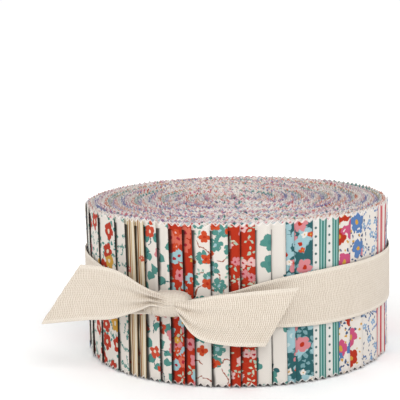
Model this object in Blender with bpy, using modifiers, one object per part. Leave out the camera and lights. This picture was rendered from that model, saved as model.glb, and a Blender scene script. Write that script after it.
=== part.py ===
"""A roll of forty pre-cut fabric strips, tied round its middle with a cotton tape.

The strips are stacked, then wound up together. So the roll is one spiral of a thick stack,
and its outside is a shingle of forty cut ends, each lying on the next one.
The tape goes once round, is gathered into a knot in front and ends in two free tails.
Metres, +Z up. The origin is on the roll's axis, on the surface it stands on, and -Y is the front.
"""

import math

import bmesh
import bpy
from mathutils import Matrix, Vector

MM = 0.001
WELD = 0.01 * MM

# Driving sizes of the roll
STRIP_WIDTH = 63.5 * MM  # the cut width of a strip, and so the height of the roll
STRIP_LENGTH = 1.1
STRIP_COUNT = 40
ROLL_RADIUS = 62.6 * MM  # where each shown end begins
END_LIFT = 0.7 * MM  # how far a cut end stands off the next strip

# Sizes that follow: cloth lies as thick as its length has to fill the circle
LAYER = math.pi * ROLL_RADIUS**2 / (STRIP_COUNT * STRIP_LENGTH)
STACK = STRIP_COUNT * LAYER

# Finishes
ROLL_COLOUR = (0.60, 0.40, 0.38)
ROLL_ROUGHNESS = 0.9
TAPE_COLOUR = (0.83, 0.76, 0.64)
TAPE_ROUGHNESS = 0.85

# The line that parts the turns of the stack, and how unevenly their edges stand
TURN_GAP = 0.4 * MM
CORE_RADIUS = 4.0 * MM
TURN_STEP_DEG = 7.5
EDGE_RISE = 0.55 * MM
EDGE_WAVES = 5

# Where the cut ends show, anticlockwise from +X: from, to (degrees), strips in that arc
SHINGLES = (
    (-161.5, -138.5, 2),
    (-138.5, -105.0, 7),
    (-105.0, -63.0, 8),
    (-63.0, -39.5, 4),
    (-39.5, -17.5, 2),
    (-17.5, 90.0, 8),
    (90.0, 198.5, 9),
)
# A shown band's outline: share of its width, share of the end's lift
BAND_PROFILE = ((0.02, 0.0), (0.5, 0.25), (0.98, 1.0))

# The tape
TAPE_WIDTH = 22.0 * MM
TAPE_THICKNESS = 1.0 * MM
TAPE_SEAT = ROLL_RADIUS + END_LIFT + 0.35 * MM  # the band's inner face, clear of the cut ends
BAND_ROWS = 90
TAIL_ROWS = 14
TAPE_COLUMNS = 8

# The knot: its angle round the roll, and its middle and size
KNOT_DEG = -111.5
KNOT_HEIGHT = 32.8 * MM
KNOT_SIZE = Vector((15.0, 8.5, 8.5)) * MM  # along the tape, out from the roll, up
KNOT_OUT = 66.8 * MM
KNOT_TILT_DEG = -4.0
KNOT_SIDES = 20
KNOT_RINGS = 14
KNOT_SQUARENESS = 0.12
KNOT_CREASES = 5
KNOT_CREASE_DEPTH = 0.06
KNOT_CREASE_TWIST = 8.0

# The band as it is gathered towards the knot: degrees from the knot, width in mm, middle in mm
GATHER = (
    (0.0, 6.0, 31.2),
    (6.0, 6.8, 31.2),
    (14.0, 10.0, 31.4),
    (20.0, 12.4, 31.6),
    (28.0, 16.4, 32.1),
    (36.0, 19.2, 32.5),
    (46.0, 21.0, 32.8),
    (60.0, 22.0, 33.0),
    (180.0, 22.0, 33.0),
)
PLEATS = 2
PLEAT_DEPTH = 0.35 * MM

# Sections of the free tails, root to cut end, in mm:
# x and z of the top edge, x and z of the bottom edge, y of both, pleat depth
LEFT_TAIL = (
    (-25.5, 35.6, -25.5, 32.0, -65.0, 0.0),
    (-31.5, 37.6, -32.0, 33.0, -64.2, 0.1),
    (-36.3, 39.8, -36.2, 30.9, -62.4, 0.3),
    (-41.8, 43.0, -42.3, 27.9, -59.6, 0.5),
    (-46.8, 44.9, -49.0, 25.4, -56.6, 0.3),
    (-53.0, 45.6, -58.5, 24.2, -53.2, 0.0),
    (-60.2, 45.3, -76.5, 21.6, -48.6, -0.5),
)
RIGHT_TAIL = (
    (-23.0, 34.6, -23.0, 31.0, -66.0, 0.0),
    (-18.4, 35.1, -20.6, 27.2, -67.2, 0.2),
    (-13.8, 35.9, -17.2, 22.7, -68.0, 0.5),
    (-8.0, 37.2, -12.4, 19.8, -68.6, 0.5),
    (0.5, 38.2, -4.0, 18.2, -69.0, 0.3),
    (11.5, 39.2, 3.5, 17.7, -69.0, 0.0),
    (22.6, 39.9, 9.9, 17.4, -68.2, -0.4),
)


def cotton(name, colour, roughness):
    """A plain woven cotton finish."""
    finish = bpy.data.materials.new(name)
    finish.use_nodes = True
    shader = finish.node_tree.nodes["Principled BSDF"]
    shader.inputs["Base Color"].default_value = (*colour, 1.0)
    shader.inputs["Roughness"].default_value = roughness
    shader.inputs["Metallic"].default_value = 0.0
    return finish


def between(rows, at):
    """The row at a place in a table whose first column rises, with straight steps between rows."""
    for low, high in zip(rows, rows[1:]):
        if at <= high[0]:
            share = (at - low[0]) / (high[0] - low[0])
            return [a + (b - a) * share for a, b in zip(low, high)]
    return list(rows[-1])


def smooth_row(rows, place):
    """A row between whole rows of a table, read from a smooth curve through them."""
    index = min(int(place), len(rows) - 2)
    share = place - index
    before, low = rows[max(index - 1, 0)], rows[index]
    high, after = rows[index + 1], rows[min(index + 2, len(rows) - 1)]
    return [
        0.5 * (2 * b + (c - a) * share + (2 * a - 5 * b + 4 * c - d) * share**2
               + (3 * b - a - 3 * c + d) * share**3)
        for a, b, c, d in zip(before, low, high, after)
    ]


def polar(radius, degrees, height=0.0):
    """A point at a radius and an angle round the roll's axis."""
    turn = math.radians(degrees)
    return Vector((radius * math.cos(turn), radius * math.sin(turn), height))


def shown_bands():
    """Each strip's shown band as (first, last) angles; its cut end is at the last."""
    bands = []
    for first, last, strips in SHINGLES:
        width = (last - first) / strips
        bands += [(first + width * n, first + width * (n + 1)) for n in range(strips)]
    return bands


def shingled_edge():
    """The outer edge of the roll: each band rises to its cut end, then drops to the next."""
    return [
        polar(ROLL_RADIUS + END_LIFT * lift, first + (last - first) * along)
        for first, last in shown_bands()
        for along, lift in BAND_PROFILE
    ]


def turn_line(side):
    """One wall of the spiral line between turns, from the core outwards."""
    mouth = SHINGLES[0][0]
    turns = (ROLL_RADIUS - CORE_RADIUS) / STACK
    steps = round(turns * 360.0 / TURN_STEP_DEG)
    line = []
    for step in range(steps + 1):
        share = step / steps
        radius = CORE_RADIUS + (ROLL_RADIUS - CORE_RADIUS) * share
        line.append(polar(radius + side * TURN_GAP / 2, mouth - 360.0 * turns * (1 - share)))
    return line


def roll_outline():
    """Round the shingled outside, in along the outer wall of the turn line and out again."""
    inward = list(reversed(turn_line(1)))
    outward = turn_line(-1)
    return shingled_edge() + inward[1:] + outward[:-1]


def uneven_edges(point):
    """How far the strips' edges stand up at a place on the roll's top."""
    radius = math.hypot(point.x, point.y)
    angle = math.atan2(point.y, point.x)
    turn_wave = math.sin(2 * math.pi * radius / STACK * 0.5 + angle)
    slow_wave = math.sin(EDGE_WAVES * angle + 40 * radius / ROLL_RADIUS)
    return EDGE_RISE * (0.7 * turn_wave + 0.3 * slow_wave - 1.0)


def outline_mesh(places, height):
    """A closed outline in the XY plane, filled and extruded evenly up and down from it."""
    flat = bpy.data.curves.new("outline", "CURVE")
    flat.dimensions = "2D"
    flat.fill_mode = "BOTH"
    flat.extrude = height / 2
    spline = flat.splines.new("POLY")
    spline.points.add(len(places) - 1)
    for point, place in zip(spline.points, places):
        point.co = (*place, 1.0)
    spline.use_cyclic_u = True
    guide = bpy.data.objects.new("outline", flat)
    bpy.context.scene.collection.objects.link(guide)
    evaluated = guide.evaluated_get(bpy.context.evaluated_depsgraph_get())
    mesh = bpy.data.meshes.new_from_object(evaluated)
    bpy.data.objects.remove(guide)
    return mesh


def even_out_top(shape):
    """Turns the thin triangles of the filled top into well shaped ones, so that it can bend."""
    top = {face for face in shape.faces if face.normal.z > 0.5}
    inner = [edge for edge in shape.edges if top.issuperset(edge.link_faces)]
    bmesh.ops.beautify_fill(shape, faces=list(top), edges=inner)


def build_roll(parts):
    """The wound strips: the filled outline, raised to stand on its base, with an uneven top."""
    mesh = outline_mesh(roll_outline(), STRIP_WIDTH)
    mesh.name = "fabric_roll"
    shape = bmesh.new()
    shape.from_mesh(mesh)
    bmesh.ops.remove_doubles(shape, verts=shape.verts, dist=WELD)
    bmesh.ops.recalc_face_normals(shape, faces=shape.faces)
    even_out_top(shape)
    for vert in shape.verts:
        rise = uneven_edges(vert.co) if vert.co.z > 0 else 0.0
        vert.co.z += STRIP_WIDTH / 2 + rise
    shape.to_mesh(mesh)
    shape.free()
    mesh.materials.append(cotton("printed_cotton", ROLL_COLOUR, ROLL_ROUGHNESS))
    parts.objects.link(bpy.data.objects.new("fabric_roll", mesh))


def pleat(across):
    """The pleats' height, from -1 to 1, at a share across the tape."""
    return math.cos(2 * math.pi * PLEATS * across)


def band_point(turned, across):
    """A point on the band's inner face: degrees on from the knot, share up the tape."""
    _, width, middle = between(GATHER, min(turned, 360.0 - turned))
    width, middle = width * MM, middle * MM
    share = width / TAPE_WIDTH
    half_gathered = 4 * share * (1.0 - share)
    radius = TAPE_SEAT + PLEAT_DEPTH * half_gathered * (1.0 + pleat(across))
    return polar(radius, KNOT_DEG + turned, middle + width * (across - 0.5))


def tail_point(sections, along, across):
    """A point on a tail's inner face: share along it, share up the tape."""
    place = along * (len(sections) - 1)
    top_x, top_z, low_x, low_z, depth, fold = smooth_row(sections, place)
    x = low_x + (top_x - low_x) * across
    z = low_z + (top_z - low_z) * across
    y = depth - fold * pleat(across)
    return Vector((x, y, z)) * MM


def face_outwards(shape):
    """Turns an open sheet's faces away from the roll's axis."""
    bmesh.ops.recalc_face_normals(shape, faces=shape.faces)
    outward = sum(face.normal.xy.dot(face.calc_center_median().xy) for face in shape.faces)
    if outward < 0:
        bmesh.ops.reverse_faces(shape, faces=shape.faces)


def new_object(name, shape):
    """An object from a finished bmesh, which is freed."""
    mesh = bpy.data.meshes.new(name)
    shape.to_mesh(mesh)
    shape.free()
    return bpy.data.objects.new(name, mesh)


def tape_sheet(name, rows, place):
    """A strip of tape: a grid whose points are put in place, with its thickness added outwards."""
    shape = bmesh.new()
    bmesh.ops.create_grid(shape, x_segments=rows, y_segments=TAPE_COLUMNS, size=0.5)
    for vert in shape.verts:
        vert.co = place(vert.co.x + 0.5, vert.co.y + 0.5)
    bmesh.ops.remove_doubles(shape, verts=shape.verts, dist=WELD)
    face_outwards(shape)
    sheet = new_object(name, shape)
    wall = sheet.modifiers.new("thickness", "SOLIDIFY")
    wall.thickness = TAPE_THICKNESS
    wall.offset = 1.0
    return sheet


def knot_surface(point):
    """Moves a point of a unit ball, whose axis is Z, to the knot's surface; X is along the tape."""
    along, up, out = point.z, point.x, point.y
    round_turn = math.atan2(up, out)
    squared = 1.0 + KNOT_SQUARENESS * abs(math.sin(2 * round_turn))
    wrap = KNOT_CREASES * round_turn + KNOT_CREASE_TWIST * along
    girth = squared * (1.0 - KNOT_CREASE_DEPTH * math.cos(wrap))
    return Vector((along * KNOT_SIZE.x, out * girth * KNOT_SIZE.y, up * girth * KNOT_SIZE.z))


def knot_lump(name):
    """The knot: a rounded lump, creased where the tape wraps it and flat where it meets the roll."""
    shape = bmesh.new()
    bmesh.ops.create_uvsphere(shape, u_segments=KNOT_SIDES, v_segments=KNOT_RINGS, radius=0.5)
    facing = Matrix.Rotation(math.radians(KNOT_DEG + 90.0), 4, "Z")
    tilt = Matrix.Rotation(math.radians(KNOT_TILT_DEG), 4, "Y")
    middle = polar(KNOT_OUT, KNOT_DEG, KNOT_HEIGHT)
    seat = TAPE_SEAT + TAPE_THICKNESS / 2
    for vert in shape.verts:
        vert.co = middle + facing @ tilt @ knot_surface(vert.co)
        pushed = max(1.0, seat / vert.co.xy.length)
        vert.co.x *= pushed
        vert.co.y *= pushed
    bmesh.ops.recalc_face_normals(shape, faces=shape.faces)
    return new_object(name, shape)


def join(whole, piece, guides):
    """Makes a piece one solid with another object; the piece itself stays behind as a guide."""
    piece.hide_render = True
    piece.display_type = "WIRE"
    guides.objects.link(piece)
    union = whole.modifiers.new("with_" + piece.name, "BOOLEAN")
    union.operation = "UNION"
    union.object = piece


def build_tape(parts, guides):
    """The whole tape as one solid: the band joined with the knot and both tails."""
    tape = tape_sheet("ribbon_tie", BAND_ROWS, lambda a, b: band_point(360.0 * a, b))
    tape.data.materials.append(cotton("cotton_tape", TAPE_COLOUR, TAPE_ROUGHNESS))
    parts.objects.link(tape)
    join(tape, knot_lump("knot"), guides)
    for name, sections in (("left_tail", LEFT_TAIL), ("right_tail", RIGHT_TAIL)):
        tail = tape_sheet(name, TAIL_ROWS, lambda a, b: tail_point(sections, a, b))
        join(tape, tail, guides)


def clear_scene():
    for item in list(bpy.data.objects):
        bpy.data.objects.remove(item)


def new_collection(name):
    made = bpy.data.collections.new(name)
    bpy.context.scene.collection.children.link(made)
    return made


def main():
    clear_scene()
    parts = new_collection("tied_fabric_strip_roll")
    build_roll(parts)
    build_tape(parts, new_collection("joined_pieces"))


main()
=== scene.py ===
# %% [markdown]
# # A roll of quilting strips, tied with cotton tape
#
# The real object is forty strips of printed quilting cotton, each 63.5 mm wide and about
# 1.1 m long. Their long edges are pinked, which means cut in small teeth so that they don't
# fray. The strips are stacked, wound up together and tied with a flat natural cotton tape.
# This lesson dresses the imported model: every strip becomes its own sheet of cloth, and the
# tape becomes a band, a knot and two free tails.

import math
import random

import bmesh
import bpy
from mathutils import Matrix, Vector


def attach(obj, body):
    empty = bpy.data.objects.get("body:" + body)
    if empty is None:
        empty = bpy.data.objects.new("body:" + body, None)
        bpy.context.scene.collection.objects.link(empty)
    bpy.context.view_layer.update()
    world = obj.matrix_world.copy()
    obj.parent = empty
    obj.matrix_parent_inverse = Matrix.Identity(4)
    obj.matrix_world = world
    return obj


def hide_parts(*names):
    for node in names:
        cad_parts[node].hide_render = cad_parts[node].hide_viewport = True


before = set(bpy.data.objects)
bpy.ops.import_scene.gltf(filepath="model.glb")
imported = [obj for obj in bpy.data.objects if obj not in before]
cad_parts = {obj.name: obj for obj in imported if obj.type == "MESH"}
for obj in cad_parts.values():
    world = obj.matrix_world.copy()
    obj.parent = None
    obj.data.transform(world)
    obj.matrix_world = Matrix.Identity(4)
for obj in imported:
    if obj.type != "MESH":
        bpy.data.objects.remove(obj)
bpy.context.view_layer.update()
MM = 0.001

# %% [markdown]
# ## The camera
#
# The roll is seen from a little above with a long lens. Its place comes from the roll's known
# height and from its top and bottom edges in the picture. A camera can be aimed with a
# tracking constraint, but plain numbers for its turn keep the small roll that the picture has.

# %% Camera
CAMERA_PLACE = Vector((0.0, -486.7, 140.03)) * MM
CAMERA_PITCH, CAMERA_YAW, CAMERA_ROLL = 0.1593, -0.0311, -0.0201

ahead = Vector((
    math.sin(CAMERA_YAW) * math.cos(CAMERA_PITCH),
    math.cos(CAMERA_YAW) * math.cos(CAMERA_PITCH),
    -math.sin(CAMERA_PITCH),
))
level_right = ahead.cross(Vector((0, 0, 1))).normalized()
level_up = level_right.cross(ahead)
right = level_right * math.cos(CAMERA_ROLL) + level_up * math.sin(CAMERA_ROLL)
up = level_up * math.cos(CAMERA_ROLL) - level_right * math.sin(CAMERA_ROLL)
lens = bpy.data.cameras.new("front_view")
lens.sensor_width = 36.0
lens.lens = 105.1
camera = bpy.data.objects.new("front_view", lens)
camera.matrix_world = Matrix((right, up, -ahead)).transposed().to_4x4()
camera.location = CAMERA_PLACE
bpy.context.scene.collection.objects.link(camera)
bpy.context.scene.camera = camera
print("camera turned by", [round(math.degrees(a), 2) for a in camera.rotation_euler])

# %% [markdown]
# ## How the strips are wound
#
# Forty strips wound together make a spiral with forty arms. Each arm ends on the outside,
# one step further round than the last, so the outside is a shingle of cut ends. The ends
# stand close together in front and further apart behind. Counting the ends that are passed
# on the way round gives every strip's depth, and from it the radius at any angle.

# %% Sizes of the roll
STRIP_WIDTH = 63.5 * MM
STRIP_LENGTH = 1100 * MM
ROLL_RADIUS = 62.6 * MM
END_LIFT = 0.7 * MM
LAYER = math.pi * ROLL_RADIUS**2 / (40 * STRIP_LENGTH)
CLOTH = 0.22 * MM
END_CURL = 0.65 * MM
FIRST_END = -161.5
# Degrees round the roll, with the camera at -90: spaced as seen in front, and even elsewhere
CUT_ENDS = [
    -150.5, -138.5, -132.5, -127.9, -123.9, -118.3, -113.7, -108.7, -105.1, -99.1,
    -92.9, -89.1, -83.8, -78.5, -73.2, -70.1, -63.1, -57.8, -52.1, -46.5,
    -39.2, -28.2, -17.3,
]
CUT_ENDS += [-17.3 + 107.3 / 8 * n for n in range(1, 9)]
CUT_ENDS += [90.0 + 108.5 / 9 * n for n in range(1, 10)]
STRIPS = len(CUT_ENDS)
print(STRIPS, "strips, one layer takes", round(LAYER / MM, 3), "mm")


# %% Depth and radius
def ends_passed(angle):
    """How many cut ends lie behind an angle in degrees, with parts between two ends."""
    turns, rest = divmod(angle - FIRST_END, 360.0)
    rest += FIRST_END
    low = FIRST_END
    for count, high in enumerate(CUT_ENDS):
        if rest < high:
            return turns * STRIPS + count + (rest - low) / (high - low)
        low = high
    return (turns + 1) * STRIPS


def strip_radius(number, angle):
    """Middle of a strip's cloth at an angle, before its end lifts."""
    outer = ROLL_RADIUS + LAYER * 0.5
    return outer - LAYER * (number + 1 - ends_passed(angle))


print("strip 0 starts its shown band at", round(strip_radius(0, FIRST_END) / MM, 2), "mm")

# %% [markdown]
# ## The path of one strip
#
# Each strip is walked from its cut end on the outside to the middle, in steps of half a
# tooth. In the middle there isn't room for forty arms, so the strips stop at different
# radii there, as the folded starts of a real roll do.

# %% Walk along a strip
TOOTH_PITCH = 3.0 * MM
TOOTH_DEPTH = 1.3 * MM
HALF_TOOTH = TOOTH_PITCH / 2


def inner_stops():
    """The radius where each strip's inner end stops, spread evenly round the middle."""
    rise, room = 1.8, 0.25  # mm that the spiral comes in for a radian, and that a strip needs
    stops, radius = [], 0.5
    for rank in range(STRIPS):
        while 2 * math.pi * radius * (rise / math.sqrt(radius**2 + rise**2)) / room < rank:
            radius += 0.01
        stops.append(radius * MM)
    return [stops[number * 17 % STRIPS] for number in range(STRIPS)]


def walk(number, stop):
    """Angles in degrees at each half tooth, from the cut end to the middle."""
    angle = CUT_ENDS[number]
    angles = [angle]
    radius = strip_radius(number, angle)
    while radius > stop:
        angle -= math.degrees(HALF_TOOTH / max(radius, HALF_TOOTH))
        radius = strip_radius(number, angle)
        angles.append(angle)
    return angles


STOPS = inner_stops()
lengths = [(len(walk(n, STOPS[n])) - 1) * HALF_TOOTH for n in range(0, STRIPS, 8)]
print("some strips' lengths in m:", [round(length, 3) for length in lengths])

# %% [markdown]
# ## One strip as a sheet
#
# A grid is the natural start for a sheet: one row of faces for each half tooth along the
# strip, and a few across. Every second point of the long edges is drawn back, which makes
# the pinked teeth. A Solidify modifier gives the cloth its thickness. The sheet keeps a UV
# map in millimetres, so that its print follows the cloth round the roll.

# %% Build a strip
ROWS = (0.0, 0.035, 0.5, 0.965, 1.0)
FREE = (1.5, 1.4, 0.4, 1.4, 1.5)  # the tape holds the ends down at mid-height
CURL_REACH = 5 * MM
random.seed(20)


def strip_waves():
    """Three slow waves for how a strip's edge stands up and down along its length."""
    return [(random.uniform(0.12, 0.34), random.uniform(18, 120), random.uniform(0, 6.3))
            for _ in range(3)]


def strip_stand(number):
    """How far a whole strip was left standing up or down when the stack was squared, in mm."""
    turn_swell = math.sin(2 * math.pi * (number - 8) / STRIPS) + 0.6 * math.sin(number * 0.47)
    return 0.4 * turn_swell + random.uniform(-0.45, 0.45) - 0.4


def loose_end(angle):
    """How loosely a cut end lies: the closely spaced ones left of the knot stand off most."""
    return 0.7 + 0.3 * math.exp(-((angle + 112) / 28) ** 2)


def strip_place(number, angle, gone, row, odd, waves, stand, slant):
    """Where a point of the strip lies: its angle, its way from the cut end, its row."""
    height = ROWS[row] * STRIP_WIDTH
    if odd and row in (0, len(ROWS) - 1):
        height += TOOTH_DEPTH if row == 0 else -TOOTH_DEPTH
    rise = sum(size * math.sin(gone / MM / reach * 6.28 + start) for size, reach, start in waves)
    settled = 0.35 + 0.65 * min(gone / (40 * MM), 1.0)
    height += ((rise + stand) * settled - 0.2) * MM * ROWS[row]
    radius = strip_radius(number, angle)
    curl = max(0.0, 1.0 - gone / CURL_REACH)
    radius += END_CURL * FREE[row] * loose_end(CUT_ENDS[number]) * curl**2
    skew = slant * (ROWS[row] - 0.5) * curl
    turn = math.radians(angle) + skew * MM / radius
    return Vector((radius * math.cos(turn), radius * math.sin(turn), height))


def build_strip(number, finish):
    """One printed strip, wound from the outside in."""
    angles = walk(number, STOPS[number])
    steps = len(angles) - 1
    waves, stand, slant = strip_waves(), strip_stand(number), random.uniform(-0.5, 0.5)
    shape = bmesh.new()
    bmesh.ops.create_grid(shape, x_segments=steps, y_segments=len(ROWS) - 1, size=0.5)
    printed = shape.loops.layers.uv.new("Print")
    raw = shape.verts.layers.float.new("raw_edge")
    spots = {}
    for vert in shape.verts:
        step = round((vert.co.x + 0.5) * steps)
        row = round((vert.co.y + 0.5) * (len(ROWS) - 1))
        gone = step * HALF_TOOTH
        vert.co = strip_place(number, angles[step], gone, row, step % 2, waves, stand, slant)
        vert[raw] = 1.0 if row in (0, len(ROWS) - 1) else 0.0
        spots[vert] = (-gone / MM, vert.co.z / MM)
    for face in shape.faces:
        for loop in face.loops:
            loop[printed].uv = spots[loop.vert]
    outward = sum(face.normal.xy.dot(face.calc_center_median().xy) for face in shape.faces)
    if outward < 0:
        bmesh.ops.reverse_faces(shape, faces=shape.faces)
    mesh = bpy.data.meshes.new(f"strip_{number + 1:02d}")
    shape.to_mesh(mesh)
    shape.free()
    mesh.materials.append(finish)
    for face in mesh.polygons:
        face.use_smooth = True
    strip = bpy.data.objects.new(mesh.name, mesh)
    bpy.context.scene.collection.objects.link(strip)
    wall = strip.modifiers.new("cloth", "SOLIDIFY")
    wall.thickness = CLOTH
    wall.offset = 0.0
    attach(strip, "root")
    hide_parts("fabric_roll")
    return strip


# %% [markdown]
# ## Printed quilting cotton
#
# Quilting cotton is a plain weave, matt and slightly soft to the eye. Its prints are small
# flowers, leaves, dots and stripes in a few inks on a plain ground. A print could be an
# image, but nodes keep it sharp at any size. Voronoi cells scatter the motifs: each cell
# gives its own middle and a random value, and the motif is drawn from the distance and the
# angle round that middle. One small function adds every node with its settings and links.


# %% Colours and nodes
def ink(code):
    """A linear colour from an sRGB hex value."""
    parts = [int(code[n:n + 2], 16) / 255 for n in (0, 2, 4)]
    linear = [c / 12.92 if c <= 0.04045 else ((c + 0.055) / 1.055) ** 2.4 for c in parts]
    return (*linear, 1.0)


def add(tree, kind, inputs=(), **settings):
    """Adds a node with its settings, and fills its inputs in order or by name.

    A node or a socket that is given for an input is linked, and anything else is its value.
    """
    node = tree.nodes.new("ShaderNode" + kind)
    for name, value in settings.items():
        setattr(node, name, value)
    in_use = [spot for spot in node.inputs if spot.enabled]
    for key, value in inputs.items() if isinstance(inputs, dict) else enumerate(inputs):
        spot = in_use[key] if isinstance(key, int) else node.inputs[key]
        if isinstance(value, bpy.types.Node):
            value = next(socket for socket in value.outputs if socket.enabled)
        if isinstance(value, bpy.types.NodeSocket):
            tree.links.new(value, spot)
        else:
            spot.default_value = value
    return node


def new_finish(name):
    """A material with no nodes yet."""
    finish = bpy.data.materials.new(name)
    finish.use_nodes = True
    finish.node_tree.nodes.clear()
    return finish, finish.node_tree


print("mid grey 808080 is", round(ink("808080")[0], 3), "in linear light")


# %% Scatter motifs in cells
FULL_TURN = 2 * math.pi


def scatter(tree, place, spacing, shift, looseness=0.75):
    """Motif cells: places from each cell's middle, turned at random, and random values."""
    moved = add(tree, "VectorMath", (place, (shift, shift * 0.61, 0)), operation="ADD")
    cells = add(tree, "TexVoronoi", {"Vector": moved, "Scale": 1 / spacing, "Randomness": looseness},
                voronoi_dimensions="2D")
    local = add(tree, "VectorMath", (moved, cells.outputs["Position"]), operation="SUBTRACT")
    chance = add(tree, "SeparateColor", (cells.outputs["Color"],))
    turn = add(tree, "Math", (chance.outputs[0], FULL_TURN), operation="MULTIPLY")
    turned = add(tree, "VectorRotate", {"Vector": local, "Angle": turn}, rotation_type="Z_AXIS")
    axes = add(tree, "SeparateXYZ", (turned,))
    away = add(tree, "VectorMath", (local,), operation="LENGTH")
    angle = add(tree, "Math", (axes.outputs[1], axes.outputs[0]), operation="ARCTAN2")
    return {"x": axes.outputs[0], "y": axes.outputs[1], "away": away, "angle": angle,
            "kind": chance.outputs[1], "tone": chance.outputs[2]}


def within(tree, away, reach):
    """1 inside a motif's edge, with the edge a tenth of a millimetre soft."""
    gap = add(tree, "Math", (reach, away), operation="SUBTRACT")
    return add(tree, "MapRange", (gap, -0.08, 0.08))


def only(tree, mask, value, high):
    """Keeps a mask where a value is below a limit."""
    below = add(tree, "Math", (value, high), operation="LESS_THAN")
    return add(tree, "Math", (mask, below), operation="MULTIPLY")


# %% Draw flowers and leaves in a cell
def sector(tree, cell, count):
    """Folds a cell into equal sectors: how far out along the nearest one, and aside from it."""
    turns = add(tree, "Math", (cell["angle"], count / FULL_TURN, 9.5), operation="MULTIPLY_ADD")
    share = add(tree, "Math", (turns,), operation="FRACT")
    angle = add(tree, "Math", (share, FULL_TURN / count, -math.pi / count), operation="MULTIPLY_ADD")
    waves = [add(tree, "Math", (angle,), operation=wave) for wave in ("COSINE", "SINE")]
    return [add(tree, "Math", (cell["away"], wave), operation="MULTIPLY") for wave in waves]


def petals(tree, cell, size, count, plump):
    """A flower of round petals: one disc in each sector, and one in the middle."""
    out, side = sector(tree, cell, count)
    spot = add(tree, "CombineXYZ", (out, side, 0.0))
    gone = add(tree, "VectorMath", (spot, (size * (1 - plump), 0, 0)), operation="DISTANCE")
    discs = within(tree, gone, size * plump)
    middle = within(tree, cell["away"], size * (1 - plump))
    return add(tree, "Math", (discs, middle), operation="MAXIMUM")


def leaves(tree, cell, size, count, width):
    """Pointed leaves round a middle, each a lens from the middle outwards."""
    out, side = sector(tree, cell, count)
    share = add(tree, "MapRange", (out, 0.1 * size, size, 0.0, math.pi))
    bulge = add(tree, "Math", (share,), operation="SINE")
    reach = add(tree, "Math", (bulge, width, -0.05), operation="MULTIPLY_ADD")
    return within(tree, add(tree, "Math", (side,), operation="ABSOLUTE"), reach)


def stem(tree, cell, length, thick, leafy):
    """A short curved stalk through the middle, with small slanted leaves where it is leafy."""
    swing = add(tree, "Math", (cell["x"], 0.9), operation="MULTIPLY")
    curve = add(tree, "Math", (swing,), operation="SINE")
    bent = add(tree, "Math", (curve, -0.6, cell["y"]), operation="MULTIPLY_ADD")
    off = add(tree, "Math", (bent,), operation="ABSOLUTE")
    slanted = add(tree, "Math", (off, -0.8, cell["x"]), operation="MULTIPLY_ADD")
    paced = add(tree, "Math", (slanted, 2.4), operation="MULTIPLY")
    beat = add(tree, "Math", (add(tree, "Math", (paced,), operation="SINE"),), operation="ABSOLUTE")
    narrow = add(tree, "Math", (beat, 3.0), operation="POWER")
    reach = add(tree, "Math", (narrow, thick * leafy, thick), operation="MULTIPLY_ADD")
    ends = within(tree, cell["away"], length)
    return add(tree, "Math", (within(tree, off, reach), ends), operation="MULTIPLY")


# %% [markdown]
# ## The range of prints
#
# A roll holds about twenty prints, two strips of each, so neighbours often match. The
# prints here are ordinary flowers, leaves, dots and stripes drawn for this lesson, in warm
# red, pink and teal inks. Each print is a row of layers, from the ground up.

# %% Table of prints
WHITE, CREAM, RED, PINK, TEAL = "D7D0C8", "CFC4B0", "A82C14", "C57C81", "4B837B"
SAGE, DEEP, SKY, ORANGE, MUSTARD = "A4B5A0", "29585C", "93B4BA", "BB4625", "C09139"
BLUE, NAVY, MAGENTA, CRIMSON = "5173A3", "3C4F70", "B94B70", "9B202D"
BLUSH = "D6ADA9"

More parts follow.
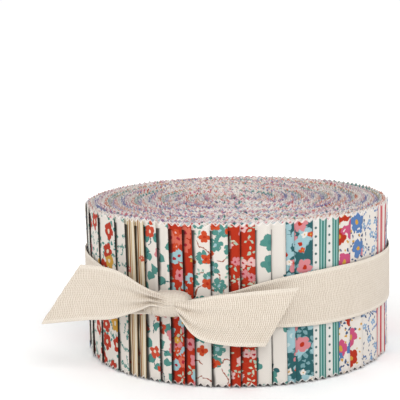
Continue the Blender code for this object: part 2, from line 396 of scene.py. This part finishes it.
# flower: spacing, size, petals, plumpness, inks, heart ink, share of cells
# leaf:   spacing, size, leaves, width, ink, share of cells
# stem:   spacing, length, half width, leaf size in half widths, ink, share of cells
# dot:    spacing, size, ink, looseness
# stripe: pitch, share of the pitch, ink, shift
PRINTS = {
    "meadow": (WHITE, [("stem", 5, 2.6, 0.14, 5, TEAL, 0.7), ("leaf", 5.6, 2.9, 3, 0.7, TEAL, 0.6),
                       ("flower", 8.2, 3.6, 5, 0.42, (RED, PINK, RED, MUSTARD), CREAM, 0.85)]),
    "sprig": (WHITE, [("stem", 4.6, 2.3, 0.14, 5, TEAL, 1.0),
                      ("flower", 6, 1.0, 5, 0.4, (TEAL,), WHITE, 0.6)]),
    "pinstripe": ("D3C9B4", [("stripe", 2.2, 0.22, "A9854C", 0.2), ("stripe", 4.4, 0.16, "8C5B2A", 1.4),
                             ("flower", 7.5, 1.5, 5, 0.4, ("C2645A", "B8543A"), CREAM, 0.5)]),
    "bud": (WHITE, [("leaf", 8.0, 5.6, 2, 1.9, TEAL, 0.95), ("stem", 7.0, 3.4, 0.14, 1, DEEP, 0.6),
                    ("flower", 7.6, 2.6, 4, 0.45, (PINK, "B9452F"), CREAM, 0.6)]),
    "poppy": (RED, [("leaf", 5.5, 2.6, 4, 0.6, SAGE, 0.6),
                    ("flower", 6.0, 2.7, 5, 0.4, (PINK, SKY, "C66350"), CRIMSON, 0.85),
                    ("flower", 6.6, 1.5, 6, 0.36, (ORANGE, MUSTARD), BLUSH, 0.6)]),
    "berry": (WHITE, [("stem", 8, 4.2, 0.17, 1, "8D422A", 0.7),
                      ("leaf", 7.6, 1.8, 3, 0.5, "7EA495", 0.4),
                      ("flower", 7.4, 2.9, 6, 0.34, (TEAL,), SKY, 0.62), ("dot", 1.9, 0.2, WHITE, 0.6),
                      ("flower", 8.3, 2.3, 4, 0.42, (ORANGE,), RED, 0.6)]),
    "ruby": (RED, [("leaf", 4.2, 2.0, 3, 0.5, SAGE, 0.75), ("leaf", 5.3, 2.3, 4, 0.45, "C0C4AD", 0.4),
                   ("flower", 6.2, 1.9, 5, 0.38, (BLUSH, PINK), CRIMSON, 0.7)]),
    "block": ("D4CEC6", [("flower", 12, 3.3, 4, 0.45, (TEAL,), "427B75", 0.7),
                         ("leaf", 15, 2.6, 3, 0.9, DEEP, 0.5),
                         ("flower", 17, 1.5, 4, 0.4, (DEEP, RED), DEEP, 0.5)]),
    "evening": (DEEP, [("leaf", 5.0, 2.6, 3, 0.8, "70959A", 0.8),
                       ("flower", 6.8, 3.3, 5, 0.42, (SKY,), "B7C8C9", 0.75),
                       ("flower", 8.2, 3.3, 5, 0.4, (PINK, PINK, SKY), RED, 0.8),
                       ("flower", 7.0, 1.3, 5, 0.4, (ORANGE, WHITE), MUSTARD, 0.6)]),
    "awning": ("D5D3CE", [("stripe", 8.4, 0.08, "37756B", 5.9), ("stripe", 8.4, 0.17, "8AB0AD", 7.0),
                          ("stripe", 8.4, 0.08, "37756B", 7.0), ("stripe", 8.4, 0.08, "37756B", 8.1),
                          ("row", 8.4, 3.3, 0.5, "4B6362", 4.2)]),
    "garden": (WHITE, [("leaf", 4.6, 2.1, 3, 0.5, NAVY, 0.8), ("dot", 3.4, 0.5, MUSTARD, 0.9),
                       ("flower", 8.8, 3.8, 5, 0.42, (BLUE, RED, MAGENTA, BLUE), MUSTARD, 0.8),
                       ("flower", 8.0, 1.9, 5, 0.4, (MAGENTA, PINK, BLUE), WHITE, 0.45)]),
    "mist": (WHITE, [("leaf", 3.4, 1.8, 2, 0.45, NAVY, 0.7),
                     ("flower", 5.2, 1.5, 5, 0.36, ("7E9BB8",), WHITE, 0.6),
                     ("stem", 5.2, 2.2, 0.1, 5, BLUE, 0.6)]),
    "ticking": (WHITE, [("stripe", 5.2, 0.4, "B72D3E", 0.0), ("stripe", 5.2, 0.08, "B72D3E", 1.7)]),
    "china": (WHITE, [("leaf", 4.5, 2.2, 4, 0.5, BLUE, 0.8),
                      ("flower", 6.8, 2.6, 6, 0.38, (BLUE, NAVY), SKY, 0.75)]),
    "rose": (PINK, [("flower", 5, 1.8, 5, 0.4, (WHITE, BLUSH), RED, 0.75)]),
    "fern": (SAGE, [("stem", 5.0, 2.6, 0.16, 5, CREAM, 0.95)]),
    "honey": (MUSTARD, [("dot", 3.4, 0.7, WHITE, 0.2)]),
    "petrol": (TEAL, [("flower", 6.0, 2.1, 5, 0.4, (WHITE, BLUSH), MUSTARD, 0.8)]),
    "sky": (SKY, [("flower", 6.5, 2.3, 5, 0.4, (WHITE, RED), MUSTARD, 0.8)]),
    "lilac": ("B5A4BD", [("stem", 4.4, 2.2, 0.14, 5, WHITE, 0.9), ("dot", 3.0, 0.35, MAGENTA, 0.9)]),
}
# Which print each strip has, from the left side of the front round to the back
ORDER = (
    "meadow meadow sprig pinstripe pinstripe bud bud poppy poppy berry berry ruby ruby "
    "block block evening evening awning awning garden garden mist ticking china china rose "
    "rose fern fern petrol petrol lilac lilac honey honey sky sky ticking mist sprig"
).split()
print(len(PRINTS), "prints for", len(ORDER), "strips")


# %% Draw stripes and rows
def striped(tree, place, pitch, half, aside, rise=None):
    """Stripes up the strip, or rows of dots where a step up the strip is given."""
    axes = add(tree, "SeparateXYZ", (place,))
    along = add(tree, "Math", (axes.outputs[0], aside), operation="SUBTRACT")
    side = add(tree, "Math", (along, pitch / 2), operation="PINGPONG")
    if rise is None:
        return within(tree, side, half)
    step = add(tree, "Math", (axes.outputs[1], rise / 2), operation="PINGPONG")
    spot = add(tree, "CombineXYZ", (side, step, 0.0))
    return within(tree, add(tree, "VectorMath", (spot,), operation="LENGTH"), half)


def flower_ink(tree, cell, inks):
    """One of a print's flower inks, chosen by the cell's random tone."""
    tone = ink(inks[0])
    for rank, code in enumerate(inks[1:], start=1):
        pick = add(tree, "Math", (cell["tone"], rank / len(inks)), operation="GREATER_THAN")
        tone = add(tree, "Mix", (pick, tone, ink(code)), data_type="RGBA")
    return tone


# %% Draw one layer of a print
def printed_layer(tree, place, below, layer, shift):
    """One layer of motifs, printed over the colour below it."""
    name, spacing = layer[:2]
    if name == "stripe":
        share, code, aside = layer[2:]
        mask, tone = striped(tree, place, spacing, spacing * share / 2, aside), ink(code)
    elif name == "row":
        rise, size, code, aside = layer[2:]
        mask, tone = striped(tree, place, spacing, size, aside, rise), ink(code)
    elif name == "dot":
        size, code, looseness = layer[2:]
        cell = scatter(tree, place, spacing, shift, looseness)
        mask, tone = within(tree, cell["away"], size), ink(code)
    elif name in ("leaf", "stem"):
        *shape, code, share = layer[2:]
        cell = scatter(tree, place, spacing, shift)
        motif = leaves if name == "leaf" else stem
        mask, tone = only(tree, motif(tree, cell, *shape), cell["kind"], share), ink(code)
    else:
        size, count, plump, inks, heart, share = layer[2:]
        cell = scatter(tree, place, spacing, shift)
        mask = only(tree, petals(tree, cell, size, count, plump), cell["kind"], share)
        below = add(tree, "Mix", (mask, below, flower_ink(tree, cell, inks)), data_type="RGBA")
        mask = only(tree, within(tree, cell["away"], size * 0.26), cell["kind"], share)
        tone = ink(heart)
    return add(tree, "Mix", (mask, below, tone), data_type="RGBA")


# %% Print a strip
def hand_drawn(tree, place):
    """Shifts a place by a few tenths of a millimetre, so that motifs aren't perfect."""
    wobble = add(tree, "TexNoise", {"Vector": place, "Scale": 0.45}, noise_dimensions="2D")
    centred = add(tree, "VectorMath", (wobble.outputs["Color"], (0.5, 0.5, 0.5)), operation="SUBTRACT")
    sized = add(tree, "VectorMath", {"Vector": centred, "Scale": 1.6}, operation="SCALE")
    return add(tree, "VectorMath", (place, sized), operation="ADD")


def printed(tree, name, number, flat):
    """All layers of a strip's print, from the ground up. Stripes stay straight."""
    ground, layers = PRINTS[name]
    colour, drawn = ink(ground), hand_drawn(tree, flat)
    for rank, layer in enumerate(layers):
        place = flat if layer[0] in ("stripe", "row") else drawn
        colour = printed_layer(tree, place, colour, layer, 37.0 * rank + 211.0 * number)
    return colour


# %% [markdown]
# ## The cloth under the print
#
# The weave of quilting cotton has about three threads to the millimetre, too fine for this
# picture. It is drawn at half that, so that it just shows as a soft grain, and painted shade
# darkens the hollows between its threads a little. Where the teeth are cut, raw fibre shows:
# white tufts among tufts of the strip's own dye. Beside and under its neighbour's loose end a
# strip gets no light. Rendered shadows alone leave it too pale there, because the cloth is so
# thin, so the material darkens it with painted shade.

# %% Weave, raw fibre and shade
THREAD_PITCH = 0.7
TEETH_FROM = 60.2  # mm up the strip, just under its top teeth
EDGE_INKS = ("CC958F", "D0C9C6", "6A74A4", "BC8C9A", "DAD0C6", "C66E50", "98A8A6", "857CAA")


def weave_height(tree, axes):
    """Over and under threads, from two crossed waves."""
    turns = [add(tree, "Math", (axes.outputs[n], FULL_TURN / THREAD_PITCH), operation="MULTIPLY")
             for n in (0, 1)]
    waves = [add(tree, "Math", (turn,), operation="SINE") for turn in turns]
    return add(tree, "Math", waves, operation="MULTIPLY")


def raw_fibre(tree, flat, axes, number):
    """Cut fibre at the teeth. The last stretch by the cut end is the palest."""
    tufts = add(tree, "TexNoise", {"Vector": flat, "Scale": 0.5}, noise_dimensions="2D")
    pale = add(tree, "MapRange", (tufts, 0.47, 0.6))
    fresh = add(tree, "MapRange", (axes.outputs[0], -30.0, -8.0))
    white = add(tree, "Math", (pale, fresh), operation="MAXIMUM")
    dyed = ink(EDGE_INKS[number * len(EDGE_INKS) // STRIPS])
    return add(tree, "Mix", (white, dyed, ink("EDE6E1")), data_type="RGBA")


def gap_open(angle):
    """How far the strips stand apart at a cut end: open left of the middle, closed right of it."""
    return 1.0 / (1.0 + math.exp((angle + 77.0) / 4.0))


def painted_gap_shade(tree, axes, number):
    """The painted shade on a strip beside and under its neighbour's loose end, but not at its top teeth.
    """
    before = CUT_ENDS[number - 1] if number else FIRST_END
    shown = math.radians(CUT_ENDS[number] - before) * ROLL_RADIUS / MM
    open_by = gap_open(before)
    spot = add(tree, "CombineXYZ", (5.0 * number, axes.outputs[1], 0.0))
    uneven = add(tree, "TexNoise", {"Vector": spot, "Scale": 0.07}, noise_dimensions="2D")
    nearer = add(tree, "Math", (uneven, -1.6 * open_by, axes.outputs[0]), operation="MULTIPLY_ADD")
    clear, covered = 0.25 + 0.45 * open_by - shown, 0.1 - 0.65 * open_by - shown
    painted_shade = add(tree, "MapRange", (nearer, clear, covered, 0.0, 0.9), interpolation_type="SMOOTHSTEP")
    return only(tree, painted_shade, axes.outputs[1], TEETH_FROM)


# %% Quilting cotton
def quilting_cotton(name, number):
    """Plain-woven cotton with a print: matt and soft, with pale raw fibre at its teeth."""
    finish, tree = new_finish(f"quilting_cotton_{name}_{number + 1:02d}")
    flat = add(tree, "UVMap", uv_map="Print")
    axes = add(tree, "SeparateXYZ", (flat,))
    grain = weave_height(tree, axes)
    # Painted shade: the hollows of the weave are darkened a little toward dark brown
    weave_shade = add(tree, "Math", (grain, -0.04, 0.04), operation="MULTIPLY_ADD")
    colour = printed(tree, name, number, flat)
    colour = add(tree, "Mix", (weave_shade, colour, ink("30241E")), data_type="RGBA")
    edge = add(tree, "Attribute", attribute_name="raw_edge").outputs["Fac"]
    raw = add(tree, "MapRange", (edge, 0.6, 0.9, 0.0, 0.85))
    colour = add(tree, "Mix", (raw, colour, raw_fibre(tree, flat, axes, number)), data_type="RGBA")
    # Painted shade: near black is mixed in beside and under the neighbour's loose end
    colour = add(tree, "Mix", (painted_gap_shade(tree, axes, number), colour, ink("140C0A")), data_type="RGBA")
    handled = add(tree, "TexNoise", {"Vector": flat, "Scale": 0.12}, noise_dimensions="2D")
    rough = add(tree, "Math", (handled, 0.12, 0.8), operation="MULTIPLY_ADD")
    dent = add(tree, "Bump", {"Height": grain, "Strength": 0.25, "Distance": 0.05 * MM})
    cotton = add(tree, "BsdfPrincipled", {
        "Base Color": colour, "Roughness": rough, "Normal": dent,
        "Sheen Weight": 0.05, "Sheen Roughness": 0.5, "Specular IOR Level": 0.15,
    })
    add(tree, "OutputMaterial", (cotton,))
    return finish


# %% Wind all forty strips
strips = [build_strip(n, quilting_cotton(ORDER[n], n)) for n in range(STRIPS)]
print(len(strips), "strips with", sum(len(s.data.polygons) for s in strips), "faces before thickness")

# %% [markdown]
# ## Natural cotton tape
#
# The tape is a flat woven band, about 22 mm wide and half a millimetre thick, unbleached and
# unprinted here. It has fine ribs across it, where its strong threads lie, and a firmer edge
# on both sides. The band runs level round the roll and is drawn together in pleats where it
# goes into the knot.

# %% Sizes of the tape
TAPE_WIDTH = 22.0
TAPE_THICKNESS = 0.5 * MM
TAPE_SEAT = ROLL_RADIUS + END_LIFT + 0.3 * MM
KNOT_DEG = -111.5
KNOT_HEIGHT = 32.8
# Degrees from the knot, width in mm, middle in mm
GATHER = (
    (0.0, 6.0, 31.2), (6.0, 6.8, 31.2), (14.0, 10.0, 31.4), (20.0, 12.4, 31.6),
    (28.0, 16.4, 32.1), (36.0, 19.2, 32.5), (46.0, 21.0, 32.8), (60.0, 22.0, 33.0),
    (180.0, 22.0, 33.0),
)
# Free tails, root to cut end, in mm: x and z of the top edge, of the bottom edge, y, pleat depth
LEFT_TAIL = (
    (-25.5, 35.6, -25.5, 32.0, -65.0, 0.0), (-31.5, 37.6, -32.0, 33.0, -64.2, 0.1),
    (-36.3, 39.8, -36.2, 30.9, -62.4, 0.3), (-41.8, 43.0, -42.3, 27.9, -59.6, 0.5),
    (-46.8, 44.9, -49.0, 25.4, -56.6, 0.3), (-53.0, 45.6, -58.5, 24.2, -53.2, 0.0),
    (-60.2, 45.3, -76.5, 21.6, -48.6, -0.5),
)
RIGHT_TAIL = (
    (-23.0, 34.6, -23.0, 31.0, -66.0, 0.0), (-18.4, 35.1, -20.6, 27.2, -67.2, 0.2),
    (-13.8, 35.9, -17.2, 22.7, -68.0, 0.5), (-8.0, 37.2, -12.4, 19.8, -68.6, 0.5),
    (0.5, 38.2, -4.0, 18.2, -69.0, 0.3), (11.5, 39.2, 3.5, 17.7, -69.0, 0.0),
    (22.6, 39.9, 9.9, 17.4, -68.2, -0.4),
)


# %% Points on the tape
def smooth_row(rows, place):
    """A row between whole rows of a table, read from a smooth curve through them."""
    index = min(int(place), len(rows) - 2)
    share = place - index
    before, low = rows[max(index - 1, 0)], rows[index]
    high, after = rows[index + 1], rows[min(index + 2, len(rows) - 1)]
    return [
        0.5 * (2 * b + (c - a) * share + (2 * a - 5 * b + 4 * c - d) * share**2
               + (3 * b - a - 3 * c + d) * share**3)
        for a, b, c, d in zip(before, low, high, after)
    ]


def gathered(turned):
    """The band's width and middle, so many degrees from the knot."""
    rank = next(n for n, row in enumerate(GATHER[1:]) if turned <= row[0])
    low, high = GATHER[rank], GATHER[rank + 1]
    return smooth_row(GATHER, rank + (turned - low[0]) / (high[0] - low[0]))[1:]


def band_point(along, across):
    """A point of the band: shares along it from the knot, and up it."""
    turned = 360.0 * along
    width, middle = gathered(min(turned, 360.0 - turned))
    drawn = max(0.0, 1.0 - width / TAPE_WIDTH)
    fold = math.cos(2 * math.pi * (3 * across + 0.15 * math.sin(5 * along)))
    radius = TAPE_SEAT + 1.1 * MM * drawn * (1.0 + fold)
    turn = math.radians(KNOT_DEG + turned)
    height = middle + width * (across - 0.5)
    return Vector((radius * math.cos(turn), radius * math.sin(turn), height * MM))


def tail_point(sections, along, across):
    """A point of a tail: shares along it from the knot, and up it."""
    top_x, top_z, low_x, low_z, depth, _ = smooth_row(sections, along * (len(sections) - 1))
    x = low_x + (top_x - low_x) * across
    z = low_z + (top_z - low_z) * across
    width = math.hypot(top_x - low_x, top_z - low_z)
    drawn = max(0.0, 1.0 - width / TAPE_WIDTH)
    fold = math.cos(2 * math.pi * (2.5 * across + 0.1))
    y = depth - 1.7 * drawn * fold
    if along > 0.999:  # a few threads have come loose along the slanted cut
        x += math.copysign(random.uniform(-0.25, 0.35), top_x - sections[0][0])
    return Vector((x, y, z)) * MM


# %% Cotton tape finish
RIB_PITCH = 0.75
FIRM_EDGE = 1.6


def cotton_tape():
    """Unbleached cotton: cream, matt, ribbed across, firmer and paler at its two edges."""
    finish, tree = new_finish("cotton_tape_woven")
    flat = add(tree, "UVMap", uv_map="Weave")
    axes = add(tree, "SeparateXYZ", (flat,))
    stray = add(tree, "TexNoise", {"Vector": flat, "Scale": 0.9}, noise_dimensions="2D")
    bent = add(tree, "Math", (stray, 0.5, axes.outputs[0]), operation="MULTIPLY_ADD")
    ribs = add(tree, "Math", (bent, FULL_TURN / RIB_PITCH), operation="MULTIPLY")
    lengthwise = add(tree, "Math", (axes.outputs[1], FULL_TURN / 0.9), operation="MULTIPLY")
    rib, warp = [add(tree, "Math", (turn,), operation="SINE") for turn in (ribs, lengthwise)]
    height = add(tree, "Math", (warp, 0.25, rib), operation="MULTIPLY_ADD")
    # Painted shade: the hollows between the ribs are darkened toward a deeper cream
    rib_shade = add(tree, "MapRange", (height, -1.2, 0.2, 0.95, 0.0))
    off_middle = add(tree, "Math", (axes.outputs[1], TAPE_WIDTH / 2), operation="SUBTRACT")
    aside = add(tree, "Math", (off_middle,), operation="ABSOLUTE")
    inner = TAPE_WIDTH / 2 - FIRM_EDGE
    selvedge = add(tree, "MapRange", (aside, inner - 0.1, inner + 0.2, 0.0, 0.5))
    cloud = add(tree, "TexNoise", {"Vector": flat, "Scale": 0.15}, noise_dimensions="2D")
    colour = add(tree, "Mix", (cloud, ink("DFD5C8"), ink("D7CCBE")), data_type="RGBA")
    colour = add(tree, "Mix", (rib_shade, colour, ink("B2A28E")), data_type="RGBA")
    colour = add(tree, "Mix", (selvedge, colour, ink("E1D8CB")), data_type="RGBA")
    dent = add(tree, "Bump", {"Height": height, "Strength": 0.6, "Distance": 0.12 * MM})
    cotton = add(tree, "BsdfPrincipled", {
        "Base Color": colour, "Roughness": 0.85, "Normal": dent,
        "Sheen Weight": 0.15, "Sheen Roughness": 0.5, "Specular IOR Level": 0.2,
    })
    add(tree, "OutputMaterial", (cotton,))
    return finish


tape_finish = cotton_tape()
print("tape finish has", len(tape_finish.node_tree.nodes), "nodes")


# %% Build a length of tape
def tape_piece(name, rows, columns, place):
    """A sheet of tape from a grid, put in place. Its ribs are paced along each warp thread."""
    shape = bmesh.new()
    bmesh.ops.create_grid(shape, x_segments=rows, y_segments=columns, size=0.5)
    woven = shape.loops.layers.uv.new("Weave")
    warp, paced = [[] for _ in range(columns + 1)], {}
    for vert in sorted(shape.verts, key=lambda v: v.co.x):
        warp[round((vert.co.y + 0.5) * columns)].append(vert)
        vert.co = place(vert.co.x + 0.5, vert.co.y + 0.5)
    for column, thread in enumerate(warp):
        gone = 0.0
        for before, vert in zip([thread[0]] + thread, thread):
            gone += (vert.co - before.co).length / MM
            paced[vert] = (gone, TAPE_WIDTH * column / columns)
    for face in shape.faces:
        for loop in face.loops:
            loop[woven].uv = paced[loop.vert]
    length = sum(paced[thread[-1]][0] for thread in warp) / len(warp)
    outward = sum(face.normal.xy.dot(face.calc_center_median().xy) for face in shape.faces)
    if outward < 0:
        bmesh.ops.reverse_faces(shape, faces=shape.faces)
    mesh = bpy.data.meshes.new(name)
    shape.to_mesh(mesh)
    shape.free()
    mesh.materials.append(tape_finish)
    for face in mesh.polygons:
        face.use_smooth = True
    piece = bpy.data.objects.new(name, mesh)
    bpy.context.scene.collection.objects.link(piece)
    wall = piece.modifiers.new("cloth", "SOLIDIFY")
    wall.thickness = TAPE_THICKNESS
    wall.offset = 1.0
    soft = piece.modifiers.new("soft", "SUBSURF")
    soft.levels = soft.render_levels = 1
    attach(piece, "root")
    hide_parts("ribbon_tie")
    print(name, "is", round(length, 1), "mm long")
    return piece, (TAPE_WIDTH * MM, round(length, 1) * MM)


# %% Place the band and the tails
band, band_flat = tape_piece("tape_band", 240, 16, band_point)
left_tail, left_flat = tape_piece("tape_tail_left", 90, 30, lambda a, b: tail_point(LEFT_TAIL, a, b))
right_tail, right_flat = tape_piece("tape_tail_right", 90, 30, lambda a, b: tail_point(RIGHT_TAIL, a, b))

# %% [markdown]
# ## The knot
#
# A knot in flat tape shows as a short wrap: the tape is bunched to a third of its width and
# goes over itself once. Simulating the knot would take long and might not come out the same
# each time. A ball made fuller, with its surface drawn into soft folds that run round it,
# shows the same form. The folds are deepest on the side where the pleats go in.

# %% Shape the knot
KNOT_SIZE = Vector((19.5, 8.5, 9.2)) * MM
KNOT_OUT = 66.8 * MM
KNOT_SHIFT = -2.0 * MM
FULLNESS = 3.0  # 2 would be an egg, and more is nearer to a drum


def knot_place(ball):
    """Moves a point of a unit ball, whose axis is Z, to the knot; X is along the tape."""
    along, up, out = ball.z, ball.x, ball.y
    turn = math.atan2(up, out)
    reach = min(abs(2 * along), 0.999)
    fuller = (1 - reach**FULLNESS) ** (1 / FULLNESS) / math.sqrt(1 - reach**2)
    squared = 1.0 + 0.12 * abs(math.sin(2 * turn))
    creased = 0.1 + 0.9 / (1 + math.exp(24 * (along + 0.12)))
    folds = creased * 0.06 * math.cos(92 * along + 6.0 * math.cos(turn))
    folds += creased * 0.05 * math.cos(50 * along + 4.0 * math.cos(turn) - 0.8 * math.sin(turn))
    folds += 0.03 * math.cos(6 * (along - 0.15))
    swell = fuller * squared * (1 + folds)
    aside = along * KNOT_SIZE.x + KNOT_SHIFT
    return Vector((aside, out * swell * KNOT_SIZE.y, up * swell * KNOT_SIZE.z))


# %% Tie the knot
def build_knot():
    """The wrap of the tape over itself, as a closed, creased form."""
    shape = bmesh.new()
    bmesh.ops.create_uvsphere(shape, u_segments=64, v_segments=96, radius=0.5)
    woven = shape.loops.layers.uv.new("Weave")
    for face in shape.faces:
        for loop in face.loops:
            spot = loop.vert.co
            turn = math.atan2(spot.x, spot.y)
            loop[woven].uv = (turn * 8.0, spot.z * 15.0 + 11.0)
    facing = Matrix.Rotation(math.radians(KNOT_DEG + 90.0), 4, "Z")
    tilt = Matrix.Rotation(math.radians(-4.0), 4, "Y")
    turn = math.radians(KNOT_DEG)
    middle = Vector((KNOT_OUT * math.cos(turn), KNOT_OUT * math.sin(turn), KNOT_HEIGHT * MM))
    for vert in shape.verts:
        vert.co = middle + facing @ tilt @ knot_place(vert.co)
    bmesh.ops.recalc_face_normals(shape, faces=shape.faces)
    mesh = bpy.data.meshes.new("tape_knot")
    shape.to_mesh(mesh)
    shape.free()
    mesh.materials.append(tape_finish)
    for face in mesh.polygons:
        face.use_smooth = True
    knot = bpy.data.objects.new("tape_knot", mesh)
    bpy.context.scene.collection.objects.link(knot)
    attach(knot, "root")
    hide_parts("ribbon_tie")
    return knot


knot = build_knot()
print("knot is", [round(d / MM, 1) for d in knot.dimensions], "mm")

# %% [markdown]
# ## Floor and light
#
# The picture has a white floor that runs into a white background, and a wide soft light.
# A large plane stands for the floor, and away from the roll it glows with painted light. A
# bright even world and two large area lights give shadows so soft that only the folds and
# the foot of the roll show them.

# %% White sweep
shape = bmesh.new()
bmesh.ops.create_grid(shape, x_segments=1, y_segments=1, size=15.0)
floor_mesh = bpy.data.meshes.new("floor")
shape.to_mesh(floor_mesh)
shape.free()
# Matt white paper: no gloss, and no line where the floor meets the background
sweep, tree = new_finish("white_paper_sweep")
# Painted light: the paper glows, faintly by the roll and brighter away from it,
# as a white sweep in a studio lit by its own lamps looks
middle = add(tree, "TexCoord").outputs["Object"]
reach = add(tree, "VectorMath", (middle,), operation="LENGTH")
painted_glow = add(tree, "MapRange", (reach, 0.08, 0.3, 0.06, 0.4))
paper = add(tree, "BsdfPrincipled", {
    "Base Color": ink("FCFCFC"), "Roughness": 0.9,
    "Emission Color": (1.0, 1.0, 1.0, 1.0), "Emission Strength": painted_glow,
})
add(tree, "OutputMaterial", (paper,))
floor_mesh.materials.append(sweep)
floor = bpy.data.objects.new("floor", floor_mesh)
floor.location.z = -0.2 * MM
bpy.context.scene.collection.objects.link(floor)
print("the sweep is", round(floor.dimensions.x), "m wide")

# %% White tent
world = bpy.data.worlds.new("studio")
world.use_nodes = True
tree = world.node_tree
tree.nodes.clear()
# White round the horizon, dimmer overhead, as a tent of white cloth is
way = add(tree, "SeparateXYZ", (add(tree, "TexCoord").outputs["Generated"],))
tent = add(tree, "MapRange", (way.outputs[2], 0.05, 0.7, 1.02, 0.7))
cloth = add(tree, "Background", ((1.0, 1.0, 1.0, 1.0), tent))
add(tree, "OutputWorld", (cloth,))
bpy.context.scene.world = world
# Standard keeps white paper and printed inks as they are, with no film-like fading
bpy.context.scene.view_settings.view_transform = "Standard"
print("colours are shown as", bpy.context.scene.view_settings.view_transform)

# %% Lamps
LAMPS = (  # name, place in m, size in m, power in W
    ("key_light", (0.35, -1.0, 1.0), 0.6, 7.0),
    ("fill_light", (-0.9, -0.8, 0.8), 0.8, 3.0),
)
for name, place, size, power in LAMPS:
    glow = bpy.data.lights.new(name, "AREA")
    glow.size = size
    glow.energy = power
    lamp = bpy.data.objects.new(name, glow)
    lamp.location = place
    lamp.rotation_euler = (Vector((0, 0, 0.03)) - Vector(place)).to_track_quat("-Z", "Y").to_euler()
    bpy.context.scene.collection.objects.link(lamp)
print(len(LAMPS), "lamps are in place")

# %% [markdown]
# ## Bring the scene up to date
#
# The dressed model keeps the imported model's size.

# %% Bring the scene up to date
bpy.context.view_layer.update()
